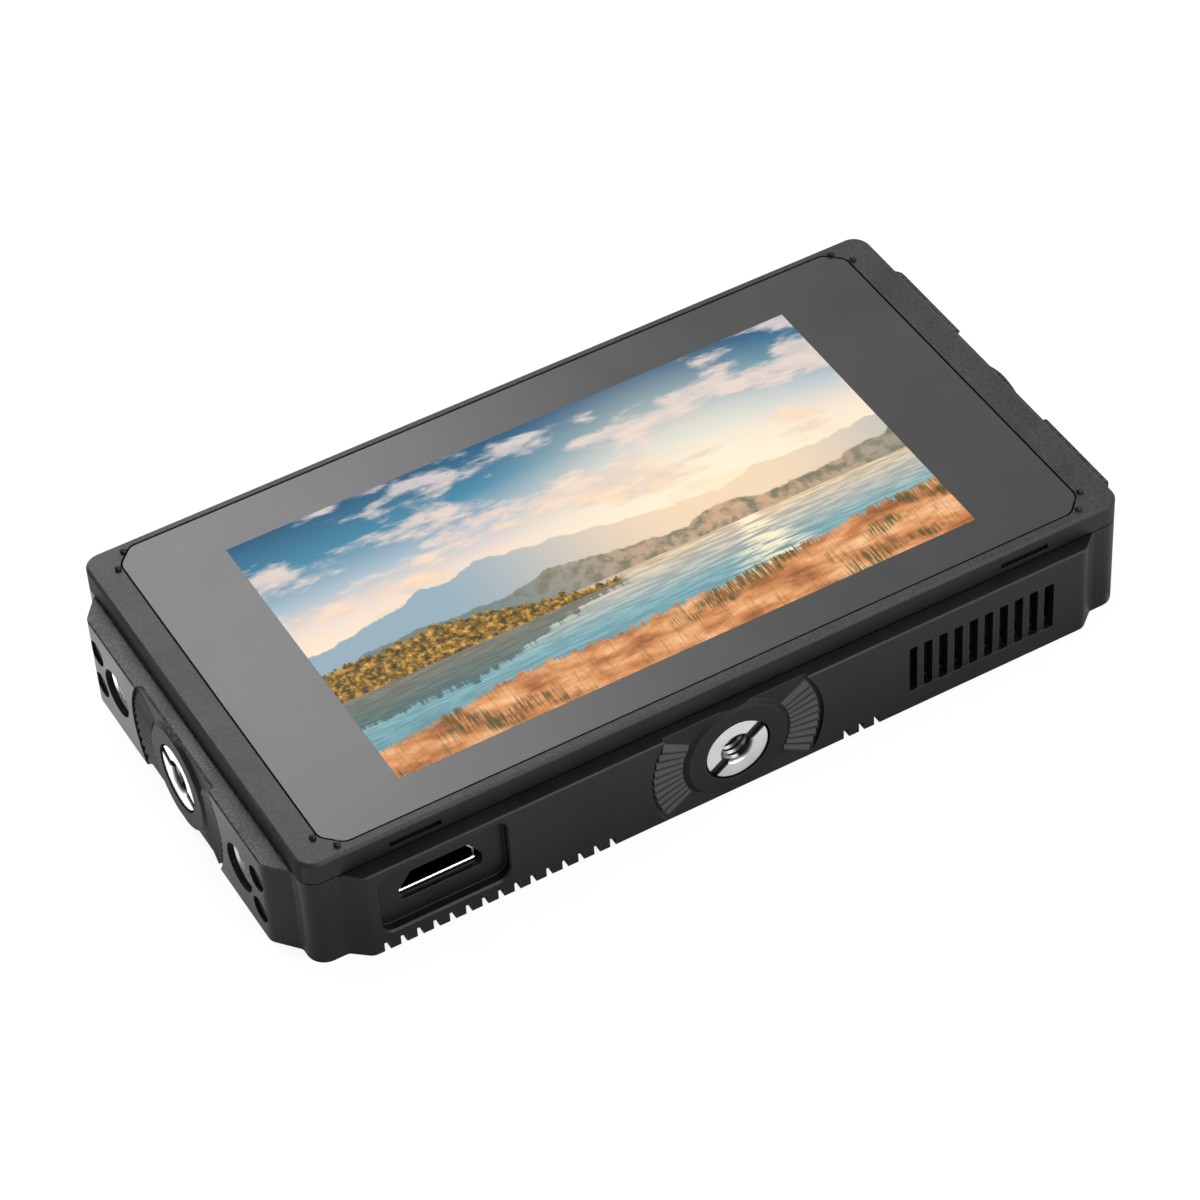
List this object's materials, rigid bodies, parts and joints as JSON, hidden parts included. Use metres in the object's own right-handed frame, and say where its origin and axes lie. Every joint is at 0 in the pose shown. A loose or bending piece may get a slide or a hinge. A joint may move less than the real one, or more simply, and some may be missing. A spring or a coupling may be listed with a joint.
{
  "type": "camera field monitor",
  "caption": "Slim on-camera touch-screen monitor with corner columns, side mounting threads with toothed rosettes, vent slots, a video socket and a rear battery bay.",
  "frame": {"origin": "middle of the back face, on the plane the monitor lies on", "axes": "+X along the long side to the right of the picture, +Y to the top of the picture, +Z out of the screen"},
  "size_m": [0.179, 0.097, 0.0269],
  "materials": {
    "frame_plastic": "fine matte grain, dark grey",
    "shell_plastic": "smooth matte, near black",
    "screen_glass": null,
    "rubber_black": "glossy black rubber",
    "tape_black": "black foam tape",
    "lcd_dark": "dark display panel",
    "backlight_white": "white backlight tray",
    "sheet_metal": "stamped sheet",
    "screw_steel": "plain steel",
    "screw_black": "black oxide",
    "port_steel": "bright plated sheet",
    "port_plastic": "black moulded plastic",
    "board_green": "solder mask",
    "brass_post": "plain brass",
    "chip_black": "moulded chip",
    "pad_grey": "soft pad",
    "heat_aluminium": "milled",
    "ribbon_orange": "film cable",
    "fan_plastic": "black moulded plastic",
    "copper_coil": "copper winding",
    "button_plastic": "smooth dark plastic",
    "lens_clear": "milky light pipe",
    "insert_steel": "bright turned steel"
  },
  "bodies": {
    "monitor": {"front_frame": "frame_plastic", "rear_shell": "shell_plastic", "cover_glass": "screen_glass", "corner_pips": "rubber_black", "glass_tape": "tape_black", "lcd_panel": "lcd_dark", "backlight_unit": "backlight_white", "midframe": "sheet_metal", "midframe_screws": "screw_steel", "case_screws": "screw_black", "hdmi_shell": "port_steel", "hdmi_tongue": "port_plastic", "main_board": "board_green", "board_posts": "brass_post", "board_screws": "screw_steel", "processor": "chip_black", "thermal_pad": "pad_grey", "heat_block": "heat_aluminium", "lcd_ribbon": "ribbon_orange", "ribbon_socket": "port_plastic", "fan_case": "fan_plastic", "fan_lid": "fan_plastic", "fan_bearing": "brass_post", "fan_coil": "copper_coil", "fan_screws": "screw_steel", "power_switch": "port_plastic", "button_board": "board_green", "status_led": "lens_clear", "status_lens": "lens_clear", "battery_plate": "shell_plastic", "battery_contacts": "brass_post", "plate_screws": "screw_black", "latch_spring": "screw_steel", "bottom_mount_insert": "insert_steel", "left_mount_insert": "insert_steel", "right_mount_insert": "insert_steel", "left_thread_blocks": "insert_steel", "right_thread_blocks": "insert_steel", "left_block_screws": "screw_black", "right_block_screws": "screw_black"},
    "fan_rotor": {"fan_rotor": "fan_plastic"},
    "power_button": {"power_button": "button_plastic", "switch_plunger": "button_plastic"},
    "battery_latch": {"battery_latch": "button_plastic"}
  },
  "joints": [
    {"name": "fan_spin", "type": "hinge", "parent": "monitor", "child": "fan_rotor", "pos_m": [0.05265, -0.02625, 0.009], "axis": [0, 0, 1], "continuous": true},
    {"name": "power_press", "type": "slide", "parent": "monitor", "child": "power_button", "axis": [0, -1, 0], "range_m": [0, 0.0004], "stiffness_N_per_m": 2500, "springref_m": -0.0004},
    {"name": "latch_press", "type": "slide", "parent": "monitor", "child": "battery_latch", "axis": [0, 0, 1], "range_m": [0, 0.0015], "stiffness_N_per_m": 800, "springref_m": -0.0012, "deforming": ["latch_spring"]}
  ]
}
